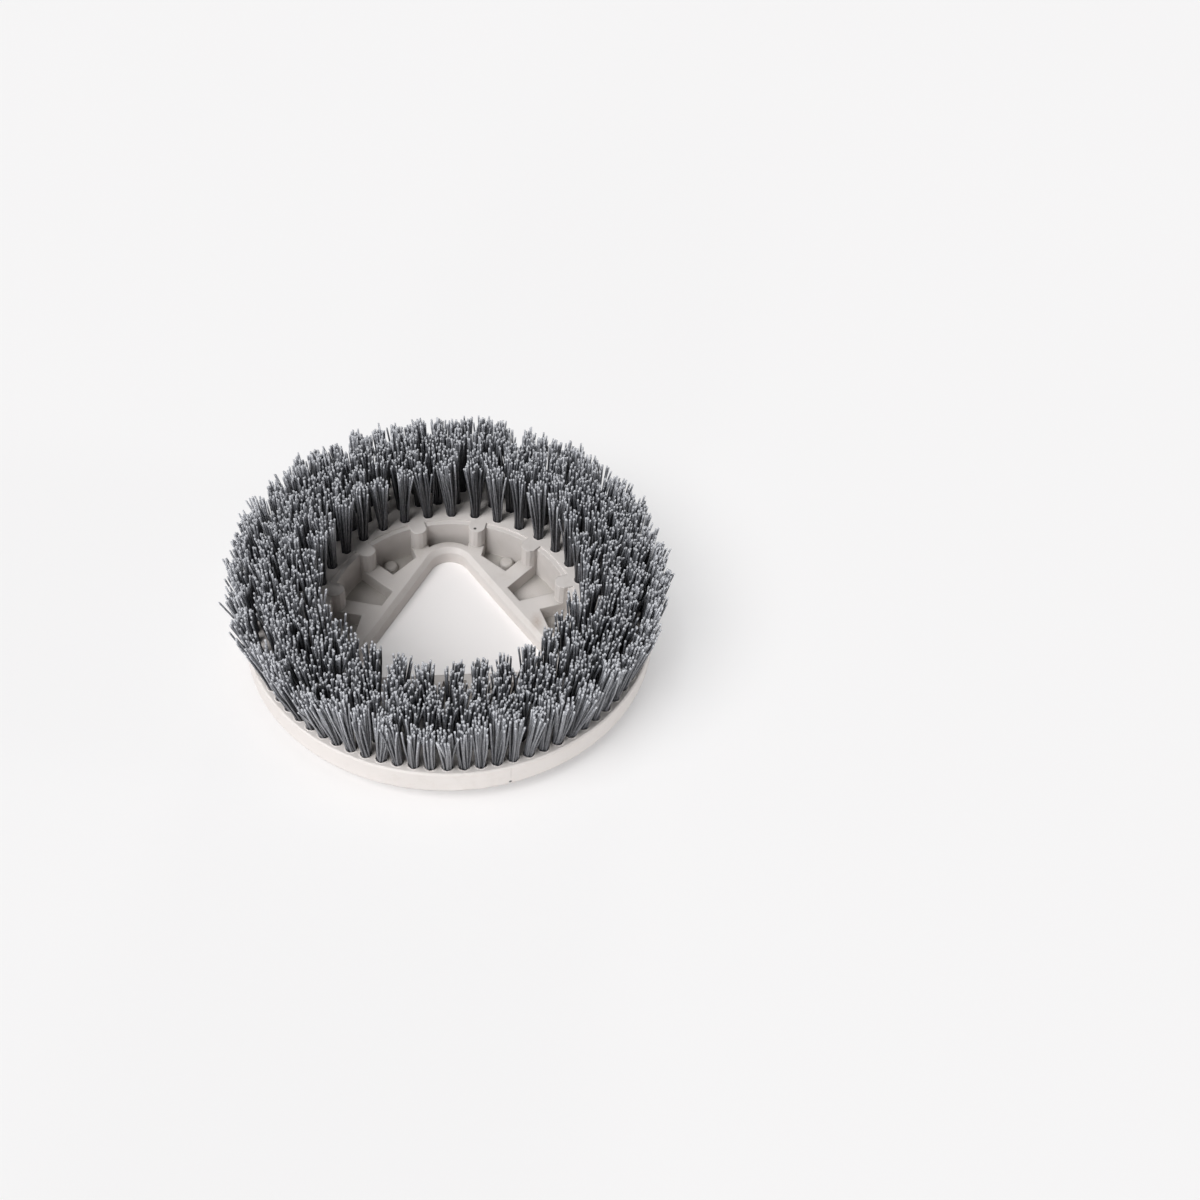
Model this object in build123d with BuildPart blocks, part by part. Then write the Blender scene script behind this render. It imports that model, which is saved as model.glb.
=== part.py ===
from build123d import *
import os
from math import atan, cos, degrees, pi, radians, tan

# Disc scrub brush for a floor machine, lying on its hub with the bristles up.
# One moulded block carries rings of bristle tufts, each tuft seated in its own blind socket.
# Millimetres, +Z up. The origin is the centre of the hub's back face, which the brush rests on,
# and one corner of the triangular drive opening points to +Y.

# Block: a thick ring for the tufts, with a dished hub below its inner edge
block_diameter = 305.0
ring_thickness = 18.5
rim_chamfer = 1.2
hub_drop = 13.0
hub_wall = 4.0
hub_bore = 182.0

# Hub web: ribs from the ring to the drive frame, with a closed pocket between each two
rib_count = 12
rib_width = 12.8
web_height = 14.0
pocket_floor = 2.0
gusset_reach = 68.5

# Tall post at the ring end of each rib, and the shallow rebate of the ring between posts
post_length = 8.0
rebate_width = 4.0
rebate_depth = 1.2

# Drive opening: a rounded triangle with a bevelled edge and a frame around it
lobe_count = 3
opening_inradius = 47.0
opening_corner = 16.0
opening_bevel = 3.7
frame_width = 9.0

# Round bosses on the pocket floors, two beside each corner of the opening
boss_diameter = 10.6
boss_height = 4.5
boss_bevel = 1.2
boss_setback = 1.2
boss_angle = 33.0

# Posts and bosses are rounded in flat facets, this many to a full turn
facet_count = 12

# Tufts: bundles that widen from socket to tip, in rows that lean further out towards the rim
# and all sweep a little the same way round
row_count = 4
bundle_sides = 5
bristle_length = 52.0
mouth_radius = 4.6
tip_radius = 5.8
socket_depth = 13.5
socket_clearance = 0.05
inner_margin = 6.7
outer_margin = 7.5
inner_tip_gap = 7.0
outer_tip_gap = 0.3
outer_lean = 8.0
tuft_sweep = 1.8
row_turn = 1.92

# Sizes worked out from the ones above
apex_angle = 90.0
block_radius = block_diameter / 2
bore_radius = hub_bore / 2
hub_radius = bore_radius + hub_wall
ring_top = hub_drop + ring_thickness
rib_step = 360.0 / rib_count
rib_start = apex_angle + rib_step / 2
facet_turn = 180.0 / facet_count
rebate_radius = bore_radius + rebate_width
post_round = rib_width / 2
post_centre = bore_radius - post_length + post_round
boss_radius = boss_diameter / 2
boss_circle = bore_radius - boss_setback - boss_radius
tuft_length = bristle_length + socket_depth
tuft_slope = (tip_radius - mouth_radius) / bristle_length
flare_angle = degrees(atan(tuft_slope * cos(pi / bundle_sides)))
socket_radius = mouth_radius + socket_clearance
inner_row_radius = rebate_radius + inner_margin
outer_row_radius = block_radius - outer_margin


def tufts_around(radius, lean, gap):
    """How many tufts fit side by side in a row, with a gap between their tips."""
    tip_circle = radius + bristle_length * tan(radians(lean))
    return int(2 * pi * tip_circle / (2 * tip_radius + gap))


def even_step(first, last, row):
    """Value for one row, in equal steps from the innermost row to the outermost."""
    return first + (last - first) * row / (row_count - 1)


def socket_planes(row):
    """Planes on the socket floors of one row, each facing out along its tuft."""
    radius = even_step(inner_row_radius, outer_row_radius, row)
    lean = even_step(0.0, outer_lean, row)
    count = round(even_step(inner_tufts, outer_tufts, row))
    places = PolarLocations(radius, count, start_angle=apex_angle - row_turn * (row + 1))
    rise = Pos(0, 0, ring_top)
    along_tuft = Rot(-tuft_sweep, lean, 0) * Pos(0, 0, -socket_depth)
    return [Plane(rise * place * along_tuft) for place in places]


inner_tufts = tufts_around(inner_row_radius, 0.0, inner_tip_gap)
outer_tufts = tufts_around(outer_row_radius, outer_lean, outer_tip_gap)
tuft_rows = [socket_planes(row) for row in range(row_count)]

# Plan of the drive opening, and of the frame around it with a gusset at each boss pocket
with BuildSketch() as opening_plan:
    RegularPolygon(opening_inradius, lobe_count, major_radius=False, rotation=apex_angle)
    fillet(opening_plan.vertices(), opening_corner)

with BuildSketch() as frame_plan:
    add(opening_plan.sketch)
    offset(amount=frame_width)
    with PolarLocations(0, lobe_count, start_angle=apex_angle):
        for side in (1, -1):
            near_rib = Vector(gusset_reach / cos(radians(rib_step)), 0).rotate(Axis.Z, side * rib_step / 2)
            far_rib = Vector(gusset_reach, 0).rotate(Axis.Z, side * rib_step * 1.5)
            Polygon((0, 0), (near_rib.X, near_rib.Y), (far_rib.X, far_rib.Y), align=None)

# Plan of the posts, one at the ring end of each rib, with a rounded end towards the middle
with BuildSketch() as post_plan:
    with PolarLocations(post_centre, rib_count, start_angle=rib_start):
        RegularPolygon(post_round, facet_count, major_radius=False, rotation=facet_turn)
        Rectangle(post_length + rebate_width, rib_width, align=(Align.MIN, Align.CENTER))

# Block
with BuildPart() as brush_block:
    # Ring and hub drum, turned as one section
    with BuildSketch(Plane.XZ):
        with BuildLine():
            Polyline(
                (0, 0),
                (hub_radius, 0),
                (hub_radius, hub_drop),
                (block_radius, hub_drop),
                (block_radius, ring_top - rim_chamfer),
                (block_radius - rim_chamfer, ring_top),
                (0, ring_top),
                close=True,
            )
        make_face()
    revolve(axis=Axis.Z)

    # Dish over the hub, leaving the posts standing
    with BuildSketch(Plane.XY.offset(web_height)):
        Circle(bore_radius)
        add(post_plan.sketch, mode=Mode.SUBTRACT)
    extrude(amount=ring_top - web_height, mode=Mode.SUBTRACT)

    # Pockets between the ribs, down to the hub floor
    with BuildSketch(Plane.XY.offset(pocket_floor)):
        Circle(bore_radius)
        with PolarLocations(0, rib_count, start_angle=rib_start):
            Rectangle(hub_radius, rib_width, align=(Align.MIN, Align.CENTER), mode=Mode.SUBTRACT)
        add(frame_plan.sketch, mode=Mode.SUBTRACT)
    extrude(amount=web_height - pocket_floor, mode=Mode.SUBTRACT)

    # Bosses on the pocket floors
    with BuildSketch(Plane.XY.offset(pocket_floor)):
        for side in (1, -1):
            with PolarLocations(boss_circle, lobe_count, start_angle=apex_angle + side * boss_angle):
                RegularPolygon(boss_radius, facet_count, major_radius=False)
    extrude(amount=boss_height)
    chamfer(brush_block.edges(Select.LAST).group_by(Axis.Z)[-1], boss_bevel)

    # Drive opening, bevelled where it meets the top of the frame
    with BuildSketch(Plane.XY):
        add(opening_plan.sketch)
    extrude(amount=web_height, mode=Mode.SUBTRACT)
    chamfer(brush_block.edges(Select.LAST).group_by(Axis.Z)[-1], opening_bevel)

    # Shallow rebate along the ring's inner edge, stopped by the posts
    with BuildSketch(Plane.XY.offset(ring_top)):
        Circle(rebate_radius)
        Circle(bore_radius - post_length, mode=Mode.SUBTRACT)
        add(post_plan.sketch, mode=Mode.SUBTRACT)
    extrude(amount=-rebate_depth, mode=Mode.SUBTRACT)

    # Blind sockets for the tufts
    for planes in tuft_rows:
        with BuildSketch(*planes):
            RegularPolygon(socket_radius, bundle_sides)
    extrude(amount=socket_depth + mouth_radius, mode=Mode.SUBTRACT)

os.makedirs("parts", exist_ok=True)
brush_block.part.label = "brush_block"
export_step(brush_block.part, "parts/brush_block.step")

# Tuft: one bundle, drawn at its tips and narrowing down to its socket floor
tip_plane = Plane.XY.offset(tuft_length)
with BuildPart() as tuft:
    with BuildSketch(tip_plane):
        RegularPolygon(tip_radius, bundle_sides)
    extrude(amount=-tuft_length)
    draft(tuft.faces().filter_by(Axis.Z, reverse=True), tip_plane, -flare_angle)

# Rows of tufts, from the hub outwards
for row, planes in enumerate(tuft_rows, start=1):
    with BuildPart() as tuft_row:
        with Locations(*planes):
            add(tuft.part)
    tuft_row.part.label = f"tuft_row_{row}"
    export_step(tuft_row.part, f"parts/tuft_row_{row}.step")
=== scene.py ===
import math

import bpy
import numpy as np
from mathutils import Matrix, Vector


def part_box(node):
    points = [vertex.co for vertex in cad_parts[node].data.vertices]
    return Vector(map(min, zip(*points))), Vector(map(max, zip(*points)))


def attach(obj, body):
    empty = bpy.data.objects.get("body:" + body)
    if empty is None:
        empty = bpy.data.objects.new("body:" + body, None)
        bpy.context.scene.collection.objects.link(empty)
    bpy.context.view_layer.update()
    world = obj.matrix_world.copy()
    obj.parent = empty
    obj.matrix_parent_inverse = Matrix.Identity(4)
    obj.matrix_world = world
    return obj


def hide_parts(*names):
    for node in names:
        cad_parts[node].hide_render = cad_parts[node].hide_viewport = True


# Disc scrub brush on a pale studio floor, bristles up. Metres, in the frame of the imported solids.
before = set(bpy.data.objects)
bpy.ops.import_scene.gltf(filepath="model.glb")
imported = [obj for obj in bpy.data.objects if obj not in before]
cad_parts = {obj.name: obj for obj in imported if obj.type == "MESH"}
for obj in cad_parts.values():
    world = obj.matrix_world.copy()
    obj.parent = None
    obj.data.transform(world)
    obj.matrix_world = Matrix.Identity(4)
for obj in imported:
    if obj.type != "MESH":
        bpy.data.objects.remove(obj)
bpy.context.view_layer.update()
scene = bpy.context.scene
face_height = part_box("brush_block")[1].z
rng = np.random.default_rng(seed=305)

# Bristles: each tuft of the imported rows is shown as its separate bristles
ROWS = ("tuft_row_1", "tuft_row_2", "tuft_row_3", "tuft_row_4")
BRISTLES_PER_TUFT = 25
BRISTLE_RADIUS = 0.00074
BRISTLE_SIDES = 7
# Worn edge of the cut end: its height, and the cut face's share of the bristle's radius
CUT_EDGE = 0.00022
CUT_SHARE = 0.62
# Places of the rings of points between mouth and cut, as shares of the free length
BEND_SHARES = (0.22, 0.46, 0.72)
# Share of a tuft's corner radius that a round bundle fills at the mouth, how much of that width it
# keeps at the socket floor, and its rest above that floor
ROUND_SHARE = 0.87
ROOT_SHARE = 0.88
ROOT_GAP = 0.0004

# How far the bristles fan out at their tips, towards the rim and along the row
FAN_OUT = 0.0085
FAN_ALONG = 0.0074
OUTER_FAN_OUT = 0.0079
OUTER_FAN_ALONG = 0.0056
FAN_CURVE = 1.15
# How much shorter the outermost bristles of a tuft stand than its middle
TIP_DOME = 0.0020
# How far whole tufts stand out of line at their tips
TUFT_LEAN = 0.0016
OUTER_TUFT_LEAN = 0.0024

# Tone of the bristles, painted lighter on the outer row and darker on the inner ones as painted light and
# shade, and how far up the scale of painted root shade those of the outer row start
INNER_ROW_SHADE = -0.05
OUTER_ROW_LIGHT = 0.11
OUTER_SHADE_START = 0.22
# The bristles are painted a little lighter towards -X, the side the key light comes from, as painted
# light: change of tone per metre
SIDE_PAINTED_LIGHT = -0.5

# How tufts and bristles vary: means, and spreads as standard deviations
FAN_SPREAD = 0.08
TRIM_MEAN = 0.0009
TRIM_SPREAD = 0.0013
TUFT_TONE_SPREAD = 0.07
MOUTH_SPREAD = 0.00012
TIP_SPREAD = 0.0009
REACH_MEAN = 0.95
REACH_SPREAD = 0.14
BOW_SPREAD = 0.0006
CUT_SPREAD = 0.0015
BRISTLE_TONE_SPREAD = 0.13
# Some bristles stray, and some stand shorter or taller than the rest
STRAY_CHANCE = 0.16
STRAY_SPREAD = 0.0026
STRAY_LIMIT = 0.006
SHORT_CHANCE = 0.10
SHORT_SPREAD = 0.0030
TALL_CHANCE = 0.07
TALL_SPREAD = 0.0028
TALL_LIMIT = 0.005

# Round socket mouths
MOUTH_SIDES = 28
MOUTH_CLEARANCE = 0.00006
MOUTH_WIDTH = 0.0010
MOUTH_DEPTH = 0.0030
MOUTH_RISE = 0.00005
MOUTH_BEVEL_DROP = 0.0001
MOUTH_BEVEL_WIDTH = 0.00012

# Small marks on the block, where the photograph shows them
POST_PIT = (0.0213, 0.0838, 0.0315)
RIM_PIT = (0.0349, -0.1484, 0.0150)
RIM_LINE = (0.0352, -0.1484, 0.0245)
SCUFF = (0.0645, -0.0018, 0.0140)
# Painted shade darkens the hub's corners and recesses: full below the first height, none above the
# second. It reaches this far from corners, and upright walls get only a share of it
CORNER_SHADE_FULL = 0.015
CORNER_SHADE_NONE = 0.026
CORNER_SHADE_REACH = 0.022
WALL_SHADE_SHARE = 0.25
# Rounding of edges in the shading of the block and of the socket mouths
BLOCK_EDGE = 0.0013
MOUTH_EDGE = 0.0002
# Where along a bristle its pale cut tip starts and is full, and how pale it gets
PALE_START = 0.968
PALE_FULL = 0.992
PALE_SHARE = 0.78

# Colours
WHITE = (1.0, 1.0, 1.0)
PLASTIC_SHADE = (0.650, 0.612, 0.590)
PLASTIC_LIGHT = (0.695, 0.657, 0.634)
PLASTIC_STAIN = (0.93, 0.92, 0.905)
# Painted shade for the hub's corners and recesses
CORNER_SHADE = (0.46, 0.46, 0.44)
# Painted shade inside two small pits
PIT_SHADE = (0.03, 0.026, 0.024)
SCUFF_BROWN = (0.33, 0.22, 0.15)
LINE_GREY = (0.36, 0.32, 0.30)
NYLON_DARK = (0.052, 0.054, 0.062)
NYLON_MIDDLE = (0.162, 0.167, 0.184)
NYLON_LIGHT = (0.520, 0.528, 0.560)
TIP_GREY = (0.57, 0.58, 0.61)
PAPER_SHADE = (0.912, 0.902, 0.900)
PAPER_LIGHT = (0.925, 0.915, 0.912)
# Painted warm light bounced from the plastic onto the floor under the brush
PAINTED_BOUNCE_TINT = (1.0, 0.972, 0.962)
PAPER_WHITE = (0.955, 0.950, 0.955)

# Floor: half its width, and the distances from the middle between which the brush's ground ends
FLOOR_REACH = 6.0
GROUND_INNER = 0.120
GROUND_OUTER = 0.185
# Share of even white in what the camera sees of the floor, and how much less of it under the brush
FLOOR_EVEN = 0.65
GROUND_EVEN_LOSS = 0.42
# Strength of the plain surround, as light and as seen
SURROUND_LIGHT = 0.10
SURROUND_SEEN = 0.93

# Camera at the photograph's view
CAMERA_PLACE = (-0.01445, -0.70754, 0.816278)
CAMERA_RIGHT = (0.992263, -0.106219, 0.064283)
CAMERA_UP = (0.035364, 0.738111, 0.673751)
CAMERA_BACK = (-0.119014, -0.666265, 0.736157)
LENS = 42.0
SENSOR = 36.0
CLIP_START = 0.01


class Tuft:
    """One tuft of a packed row: its axes, its length and its place at the block's face."""

    def __init__(self, corners):
        corners = np.array(sorted(corners, key=lambda corner: corner[2]))
        half = len(corners) // 2
        self.root = corners[:half].mean(0)
        tip = corners[half:].mean(0)
        self.length = np.linalg.norm(tip - self.root)
        self.axis = (tip - self.root) / self.length
        out = np.array([self.root[0], self.root[1], 0.0])
        out = out - self.axis * out.dot(self.axis)
        self.out = out / np.linalg.norm(out)
        self.side = np.cross(self.axis, self.out)
        self.mouth = (face_height - self.root[2]) / self.axis[2]
        root_radius = np.linalg.norm(corners[:half] - self.root, axis=1).mean()
        tip_radius = np.linalg.norm(corners[half:] - tip, axis=1).mean()
        mouth_radius = root_radius + (tip_radius - root_radius) * self.mouth / self.length
        self.round_radius = mouth_radius * ROUND_SHARE

    def point(self, along, offset):
        """Point at a distance along the tuft, offset towards the rim and along the row."""
        return self.root + self.axis * along + self.out * offset[0] + self.side * offset[1]


def row_tufts(node):
    """The tufts of a row in order round the brush, read from the row's solids."""
    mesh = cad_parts[node].data
    points = np.array([v.co[:] for v in mesh.vertices])
    places, index = np.unique(np.round(points, 6), axis=0, return_inverse=True)
    index = index.ravel()
    leader = list(range(len(places)))

    def lead(i):
        while leader[i] != i:
            leader[i] = leader[leader[i]]
            i = leader[i]
        return i

    for face in mesh.polygons:
        first = lead(index[face.vertices[0]])
        for v in face.vertices[1:]:
            leader[lead(index[v])] = first
    groups = {}
    for i in range(len(places)):
        groups.setdefault(lead(i), []).append(places[i])
    tufts = [Tuft(corners) for corners in groups.values()]
    tufts.sort(key=lambda tuft: math.atan2(tuft.root[1], tuft.root[0]))
    return tufts


def ring_angles(count):
    """Angles of the points of a ring."""
    return 2 * math.pi * np.arange(count) / count


def band(faces, low, high, count):
    """Quads between two rings of points, given the first point of each."""
    for i in range(count):
        j = (i + 1) % count
        faces.append((low + i, low + j, high + j, high + i))


def mesh_piece(name, verts, faces):
    """A smooth-shaded mesh object in the scene."""
    mesh = bpy.data.meshes.new(name)
    mesh.from_pydata([tuple(v) for v in verts], [], faces)
    mesh.polygons.foreach_set("use_smooth", np.ones(len(mesh.polygons), bool))
    piece = bpy.data.objects.new(name, mesh)
    scene.collection.objects.link(piece)
    return piece


class BristleMesh:
    """The bristles of a row as they are added: points, faces, and for each point a share up the scale of
    painted root shade and a tone.
    """

    def __init__(self, shade_start):
        self.shade_start = shade_start
        self.angles = ring_angles(BRISTLE_SIDES)
        self.verts = []
        self.faces = []
        self.along = []
        self.tone = []

    def add_bristle(self, tuft, at_mouth, at_tip, bow, cut, tone):
        """One closed bristle, from the socket floor through the mouth to its cut end."""
        free = cut - tuft.mouth
        stations = [ROOT_GAP, tuft.mouth]
        stations += [tuft.mouth + free * share for share in BEND_SHARES]
        stations += [cut - CUT_EDGE, cut]
        first = len(self.verts)
        for ring, step in enumerate(stations):
            if step <= tuft.mouth:
                share = 0.0
                offset = at_mouth * (ROOT_SHARE + (1 - ROOT_SHARE) * step / tuft.mouth)
            else:
                share = (step - tuft.mouth) / free
                offset = at_mouth + (at_tip - at_mouth) * share ** FAN_CURVE
                offset = offset + bow * math.sin(math.pi * share)
            centre = tuft.point(step, offset)
            radius = BRISTLE_RADIUS * CUT_SHARE if step == cut else BRISTLE_RADIUS
            for angle in self.angles:
                spoke = tuft.out * math.cos(angle) + tuft.side * math.sin(angle)
                self.verts.append(centre + radius * spoke)
                self.along.append(self.shade_start + (1 - self.shade_start) * share)
                self.tone.append(tone)
            if ring:
                low = first + (ring - 1) * BRISTLE_SIDES
                band(self.faces, low, low + BRISTLE_SIDES, BRISTLE_SIDES)
        top = len(self.verts) - BRISTLE_SIDES
        self.faces.append(tuple(first + i for i in reversed(range(BRISTLE_SIDES))))
        self.faces.append(tuple(top + i for i in range(BRISTLE_SIDES)))

    def piece(self, name):
        """The finished mesh object."""
        piece = mesh_piece(name, self.verts, self.faces)
        for label, values in (("along", self.along), ("tone", self.tone)):
            attribute = piece.data.attributes.new(label, "FLOAT", "POINT")
            attribute.data.foreach_set("value", np.array(values, np.float32))
        return piece


def cut_length(tuft, trim, reach):
    """Length of one bristle: shorter towards the outside of its tuft, with a few odd ones."""
    cut = tuft.length + trim - TIP_DOME * reach ** 2 + rng.normal(0, CUT_SPREAD)
    chance = rng.random()
    if chance < SHORT_CHANCE:
        return cut - abs(rng.normal(0, SHORT_SPREAD))
    if chance > 1 - TALL_CHANCE:
        return cut + min(abs(rng.normal(0, TALL_SPREAD)), TALL_LIMIT)
    return cut


def bristle_row(name, node, outermost):
    """One mesh of separate bristles for every tuft of a row, set in a sunflower pattern."""
    fan_tip = (OUTER_FAN_OUT, OUTER_FAN_ALONG) if outermost else (FAN_OUT, FAN_ALONG)
    tuft_lean = OUTER_TUFT_LEAN if outermost else TUFT_LEAN
    # The row's tone is painted light: raised on the outer row, lowered as painted shade on the inner rows
    row_light = OUTER_ROW_LIGHT if outermost else INNER_ROW_SHADE
    mesh = BristleMesh(OUTER_SHADE_START if outermost else 0.0)
    golden = math.pi * (3 - math.sqrt(5))
    for tuft in row_tufts(node):
        pack = tuft.round_radius - BRISTLE_RADIUS
        fan = np.array(fan_tip) / pack * rng.normal(1.0, FAN_SPREAD)
        lean = rng.normal(0, tuft_lean, 2)
        trim = rng.normal(TRIM_MEAN, TRIM_SPREAD)
        start = rng.uniform(0, 2 * math.pi)
        # The tuft's tone holds its own random tone plus painted light for its row and for its side
        tuft_tone = rng.normal(row_light, TUFT_TONE_SPREAD) + SIDE_PAINTED_LIGHT * tuft.root[0]
        for k in range(BRISTLES_PER_TUFT):
            turn = start + golden * k
            reach = math.sqrt((k + 0.5) / BRISTLES_PER_TUFT)
            at_mouth = pack * reach * np.array([math.cos(turn), math.sin(turn)])
            at_mouth = at_mouth + rng.normal(0, MOUTH_SPREAD, 2)
            jitter = rng.normal(0, TIP_SPREAD, 2)
            if rng.random() < STRAY_CHANCE:
                jitter = jitter + rng.normal(0, STRAY_SPREAD, 2).clip(-STRAY_LIMIT, STRAY_LIMIT)
            at_tip = at_mouth * fan * rng.normal(REACH_MEAN, REACH_SPREAD) + jitter + lean
            bow = rng.normal(0, BOW_SPREAD, 2)
            cut = cut_length(tuft, trim, reach)
            tone = tuft_tone + rng.normal(0, BRISTLE_TONE_SPREAD)
            mesh.add_bristle(tuft, at_mouth, at_tip, bow, cut, tone)
    return mesh.piece(name)


def socket_mouths(name):
    """Thin round collars on the block's face, one around each tuft where it leaves its socket."""
    spokes = [np.array([math.cos(angle), math.sin(angle), 0.0]) for angle in ring_angles(MOUTH_SIDES)]
    tufts = [tuft for node in ROWS for tuft in row_tufts(node)]
    verts = []
    faces = []
    for tuft in tufts:
        bore = tuft.round_radius + MOUTH_CLEARANCE
        rings = (
            (bore, -MOUTH_DEPTH),
            (bore, MOUTH_RISE - MOUTH_BEVEL_DROP),
            (bore + MOUTH_BEVEL_WIDTH, MOUTH_RISE),
            (bore + MOUTH_WIDTH, MOUTH_RISE),
            (bore + MOUTH_WIDTH, -MOUTH_DEPTH),
        )
        first = len(verts)
        for radius, rise in rings:
            centre = tuft.root + tuft.axis * (tuft.mouth + rise)
            verts += [centre + spoke * radius for spoke in spokes]
        for ring in range(len(rings)):
            low = first + ring * MOUTH_SIDES
            high = first + (ring + 1) % len(rings) * MOUTH_SIDES
            band(faces, high, low, MOUTH_SIDES)
    return mesh_piece(name, verts, faces)


class Nodes:
    """Shorthand for adding nodes to one node tree."""

    # Places of the colour sockets on a Mix node
    MIX_FIRST = 6
    MIX_SECOND = 7
    MIX_RESULT = 2

    def __init__(self, tree):
        self.tree = tree

    def add(self, kind, **settings):
        node = self.tree.nodes.new("ShaderNode" + kind)
        for key, value in settings.items():
            setattr(node, key, value)
        return node

    def link(self, source, target):
        self.tree.links.new(source, target)

    def fill(self, socket, value):
        """Link an output to a socket, or set the socket to a number or a colour."""
        if isinstance(value, bpy.types.NodeSocket):
            self.link(value, socket)
        elif isinstance(value, tuple):
            socket.default_value = (*value, 1.0)
        else:
            socket.default_value = value

    def object_place(self):
        return self.add("TexCoord").outputs["Object"]

    def noise(self, scale, detail, roughness):
        node = self.add("TexNoise")
        node.inputs["Scale"].default_value = scale
        node.inputs["Detail"].default_value = detail
        node.inputs["Roughness"].default_value = roughness
        self.link(self.object_place(), node.inputs["Vector"])
        return node.outputs["Fac"]

    def ramp(self, source, *stops):
        node = self.add("ValToRGB")
        elements = node.color_ramp.elements
        while len(elements) < len(stops):
            elements.new(0.5)
        for element, (place, colour) in zip(elements, stops):
            element.position = place
            element.color = (*colour, 1.0)
        self.link(source, node.inputs["Fac"])
        return node.outputs["Color"]

    def math(self, operation, first, second, clamp=False):
        node = self.add("Math", operation=operation, use_clamp=clamp)
        self.fill(node.inputs[0], first)
        self.fill(node.inputs[1], second)
        return node.outputs["Value"]

    def map_range(self, source, from_min, from_max, to_min=0.0, to_max=1.0):
        node = self.add("MapRange", clamp=True)
        self.link(source, node.inputs["Value"])
        node.inputs["From Min"].default_value = from_min
        node.inputs["From Max"].default_value = from_max
        node.inputs["To Min"].default_value = to_min
        node.inputs["To Max"].default_value = to_max
        return node.outputs["Result"]

    def mix(self, kind, factor, first, second):
        node = self.add("Mix", data_type="RGBA", blend_type=kind)
        self.fill(node.inputs["Factor"], factor)
        self.fill(node.inputs[self.MIX_FIRST], first)
        self.fill(node.inputs[self.MIX_SECOND], second)
        return node.outputs[self.MIX_RESULT]

    def height_of(self, vector):
        node = self.add("SeparateXYZ")
        self.link(vector, node.inputs["Vector"])
        return node.outputs["Z"]

    def swing(self, source, amount):
        """A noise of mean 0.5 as a change to either side of 0."""
        return self.math("MULTIPLY", self.math("SUBTRACT", source, 0.5), amount)

    def spot(self, centre, inner, outer, squash=(1.0, 1.0, 1.0)):
        """1 inside a mark around a point of the part, 0 away from it."""
        shift = self.add("VectorMath", operation="SUBTRACT")
        self.link(self.object_place(), shift.inputs[0])
        shift.inputs[1].default_value = centre
        scale = self.add("VectorMath", operation="MULTIPLY")
        self.link(shift.outputs["Vector"], scale.inputs[0])
        scale.inputs[1].default_value = squash
        size = self.add("VectorMath", operation="LENGTH")
        self.link(scale.outputs["Vector"], size.inputs[0])
        return self.map_range(size.outputs["Value"], inner, outer, to_min=1.0, to_max=0.0)


def new_material(name):
    """A material, the shorthand for its nodes, and its shader."""
    material = bpy.data.materials.new(name)
    material.use_nodes = True
    return material, Nodes(material.node_tree), material.node_tree.nodes["Principled BSDF"]


def hub_corner_shade(n):
    """How much painted shade darkens the corners: on the hub alone, most on faces that look up."""
    in_hub = n.map_range(n.height_of(n.object_place()), CORNER_SHADE_NONE, CORNER_SHADE_FULL)
    facing_up = n.height_of(n.add("NewGeometry").outputs["Normal"])
    facing_share = n.math("ADD", n.math("MULTIPLY", facing_up, 1 - WALL_SHADE_SHARE), WALL_SHADE_SHARE, clamp=True)
    return n.math("MULTIPLY", in_hub, facing_share)


def block_marks(n, colour):
    """The few small marks on the block: two pits painted dark as the shade inside them, a brown scuff and
    a faint line on the rim.
    """
    post_pit = n.spot(POST_PIT, inner=0.0007, outer=0.0015)
    rim_pit = n.spot(RIM_PIT, inner=0.0006, outer=0.0014)
    # The pits are painted dark as the shade inside them
    colour = n.mix("MIX", n.math("MAXIMUM", post_pit, rim_pit), colour, PIT_SHADE)
    scuff = n.spot(SCUFF, inner=0.0008, outer=0.0062, squash=(1.0, 0.55, 1.0))
    scuff = n.math("MULTIPLY", scuff, n.noise(scale=520.0, detail=4.0, roughness=0.6))
    colour = n.mix("MIX", n.math("MULTIPLY", scuff, 0.75), colour, SCUFF_BROWN)
    line = n.spot(RIM_LINE, inner=0.0004, outer=0.0010, squash=(1.0, 1.0, 0.12))
    return n.mix("MIX", n.math("MULTIPLY", line, 0.22), colour, LINE_GREY)


def block_material(name, edge_round):
    """Off-white moulded plastic with faint mottling, a fine grain, a few small marks and painted shade in
    the hub's corners.
    """
    material, n, shader = new_material(name)
    clouds = n.noise(scale=22.0, detail=5.0, roughness=0.6)
    mottle = n.ramp(clouds, (0.3, PLASTIC_SHADE), (0.7, PLASTIC_LIGHT))
    blots = n.noise(scale=75.0, detail=6.0, roughness=0.65)
    stain = n.ramp(blots, (0.52, WHITE), (0.75, PLASTIC_STAIN))
    colour = n.mix("MULTIPLY", 1.0, mottle, stain)
    # Painted shade: the hub is darkened in its corners and recesses by ambient occlusion
    corner = n.add("AmbientOcclusion", samples=8, only_local=True)
    corner.inputs["Distance"].default_value = CORNER_SHADE_REACH
    painted_shade = n.ramp(corner.outputs["AO"], (0.25, CORNER_SHADE), (0.85, WHITE))
    colour = n.mix("MULTIPLY", hub_corner_shade(n), colour, painted_shade)
    n.link(block_marks(n, colour), shader.inputs["Base Color"])
    shader.inputs["Specular IOR Level"].default_value = 0.42
    handling = n.noise(scale=160.0, detail=4.0, roughness=0.6)
    n.link(n.map_range(handling, 0.0, 1.0, to_min=0.40, to_max=0.58), shader.inputs["Roughness"])
    soft = n.add("Bevel", samples=6)
    soft.inputs["Radius"].default_value = edge_round
    grain = n.add("Bump")
    grain.inputs["Strength"].default_value = 0.10
    grain.inputs["Distance"].default_value = 0.0003
    n.link(n.noise(scale=1500.0, detail=3.0, roughness=0.5), grain.inputs["Height"])
    n.link(soft.outputs["Normal"], grain.inputs["Normal"])
    n.link(grain.outputs["Normal"], shader.inputs["Normal"])
    return material


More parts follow.
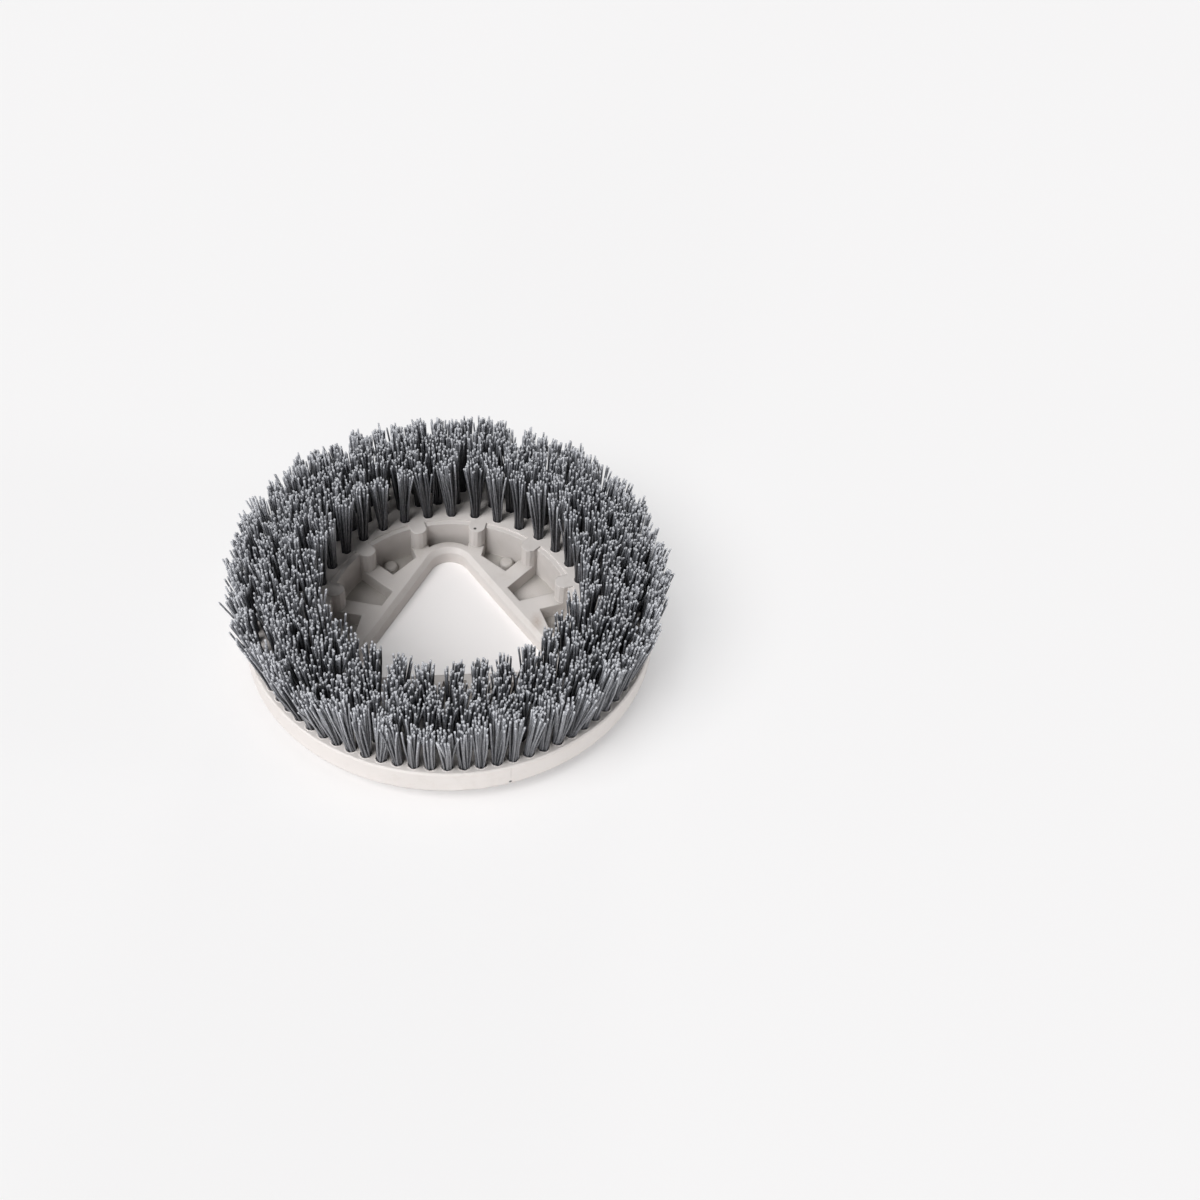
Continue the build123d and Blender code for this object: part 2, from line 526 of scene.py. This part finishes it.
def bristle_material():
    """Grey grit-filled nylon: bristles differ in tone, are speckled and end in pale cut tips. Painted
    shade darkens them towards their roots.
    """
    material, n, shader = new_material("grit_nylon")
    # The tone attribute holds each bristle's own tone with painted light added for its row and its side
    tone = n.add("Attribute", attribute_name="tone").outputs["Fac"]
    along = n.add("Attribute", attribute_name="along").outputs["Fac"]
    speckle = n.noise(scale=1500.0, detail=2.0, roughness=0.7)
    clumps = n.noise(scale=430.0, detail=3.0, roughness=0.6)
    level = n.math("ADD", tone, 0.5)
    level = n.math("ADD", level, n.swing(speckle, 1.70))
    level = n.math("ADD", level, n.swing(clumps, 0.80), clamp=True)
    shaft = n.ramp(level, (0.0, NYLON_DARK), (0.5, NYLON_MIDDLE), (1.0, NYLON_LIGHT))
    # Painted shade: the bristles get darker towards their roots, down in the brush
    root_shade = n.ramp(
        along,
        (0.0, (0.20, 0.20, 0.21)),
        (0.35, (0.46, 0.46, 0.47)),
        (0.72, (0.78, 0.78, 0.78)),
        (0.94, WHITE),
    )
    colour = n.mix("MULTIPLY", 1.0, shaft, root_shade)
    pale = n.math("MULTIPLY", n.map_range(along, PALE_START, PALE_FULL), PALE_SHARE)
    n.link(n.mix("MIX", pale, colour, TIP_GREY), shader.inputs["Base Color"])
    shader.inputs["Roughness"].default_value = 0.40
    shader.inputs["Specular IOR Level"].default_value = 0.5
    grit = n.add("Bump")
    grit.inputs["Strength"].default_value = 0.35
    grit.inputs["Distance"].default_value = 0.0001
    n.link(speckle, grit.inputs["Height"])
    n.link(grit.outputs["Normal"], shader.inputs["Normal"])
    return material


def floor_material():
    """Pale paper: around the brush the camera sees it as near even white, with a light shadow. Under the
    brush it is tinted warm as painted bounce light from the plastic.
    """
    material, n, shader = new_material("studio_floor")
    clouds = n.noise(scale=1.3, detail=2.0, roughness=0.5)
    paper = n.ramp(clouds, (0.3, PAPER_SHADE), (0.7, PAPER_LIGHT))
    ground = n.spot((0.0, 0.0, 0.0), GROUND_INNER, GROUND_OUTER)
    # Painted bounce light: the paper is tinted warm under the brush
    n.link(n.mix("MULTIPLY", ground, paper, PAINTED_BOUNCE_TINT), shader.inputs["Base Color"])
    shader.inputs["Roughness"].default_value = 0.9
    shader.inputs["Specular IOR Level"].default_value = 0.0
    white = n.add("Emission")
    n.fill(white.inputs["Color"], PAPER_WHITE)
    path = n.add("LightPath").outputs
    seen = n.math("ADD", path["Is Camera Ray"], path["Is Glossy Ray"], clamp=True)
    even = n.math("SUBTRACT", FLOOR_EVEN, n.math("MULTIPLY", ground, GROUND_EVEN_LOSS))
    blend = n.add("MixShader")
    n.link(n.math("MULTIPLY", seen, even), blend.inputs["Fac"])
    n.link(shader.outputs["BSDF"], blend.inputs[1])
    n.link(white.outputs["Emission"], blend.inputs[2])
    n.link(blend.outputs["Shader"], material.node_tree.nodes["Material Output"].inputs["Surface"])
    return material


def studio_world():
    """A plain white surround: dim as light, pale to the camera and in reflections."""
    world = bpy.data.worlds.new("studio")
    world.use_nodes = True
    n = Nodes(world.node_tree)
    sky = world.node_tree.nodes["Background"]
    n.fill(sky.inputs["Color"], WHITE)
    path = n.add("LightPath").outputs
    seen = n.math("MAXIMUM", path["Is Camera Ray"], path["Is Glossy Ray"])
    seen = n.math("MAXIMUM", seen, path["Is Transmission Ray"])
    strength = n.map_range(seen, 0.0, 1.0, to_min=SURROUND_LIGHT, to_max=SURROUND_SEEN)
    n.link(strength, sky.inputs["Strength"])
    return world


def soft_sun(name, heading, elevation, width, level):
    """Even soft light from one side, with angles in degrees. At level 1 a white face shows as white."""
    rise = math.radians(elevation)
    flat = Vector((*heading, 0.0)).normalized()
    towards = flat * math.cos(rise) + Vector((0.0, 0.0, math.sin(rise)))
    lamp = bpy.data.lights.new(name, "SUN")
    lamp.angle = math.radians(width)
    lamp.energy = level * math.pi
    lamp_object = bpy.data.objects.new(name, lamp)
    lamp_object.rotation_euler = towards.to_track_quat("Z", "Y").to_euler()
    scene.collection.objects.link(lamp_object)


# The block keeps its solid, with a round mouth at each socket
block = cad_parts["brush_block"]
block.data.materials.clear()
block.data.materials.append(block_material("block_plastic", BLOCK_EDGE))
mouths = socket_mouths("socket_mouths")
mouths.data.materials.append(block_material("mouth_plastic", MOUTH_EDGE))
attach(mouths, "root")

# Each row of tufts is shown as its bristles
nylon = bristle_material()
for number, node in enumerate(ROWS, start=1):
    bristles = bristle_row(f"bristles_{number}", node, node == ROWS[-1])
    bristles.data.materials.append(nylon)
    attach(bristles, "root")
    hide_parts(node)

# Floor
floor_mesh = bpy.data.meshes.new("floor")
floor_corners = [(x * FLOOR_REACH, y * FLOOR_REACH, 0.0) for x, y in ((-1, -1), (1, -1), (1, 1), (-1, 1))]
floor_mesh.from_pydata(floor_corners, [], [(0, 1, 2, 3)])
floor = bpy.data.objects.new("floor", floor_mesh)
floor.data.materials.append(floor_material())
scene.collection.objects.link(floor)

# Light: a soft key from the left, low cards on the other sides, and a dim plain surround
scene.world = studio_world()
soft_sun("key", heading=(-0.84, -0.54), elevation=50, width=40, level=0.96)
soft_sun("front_card", heading=(-0.35, -1.0), elevation=5, width=12, level=0.30)
soft_sun("right_card", heading=(1.0, -0.2), elevation=6, width=14, level=0.38)
soft_sun("back_card", heading=(0.25, 1.0), elevation=7, width=14, level=0.30)

# Camera
camera_data = bpy.data.cameras.new("camera")
camera_data.sensor_width = SENSOR
camera_data.lens = LENS
camera_data.clip_start = CLIP_START
camera = bpy.data.objects.new("camera", camera_data)
turn = Matrix((CAMERA_RIGHT, CAMERA_UP, CAMERA_BACK)).transposed()
camera.matrix_world = Matrix.Translation(CAMERA_PLACE) @ turn.to_4x4()
scene.collection.objects.link(camera)
scene.camera = camera

scene.view_settings.view_transform = "Standard"
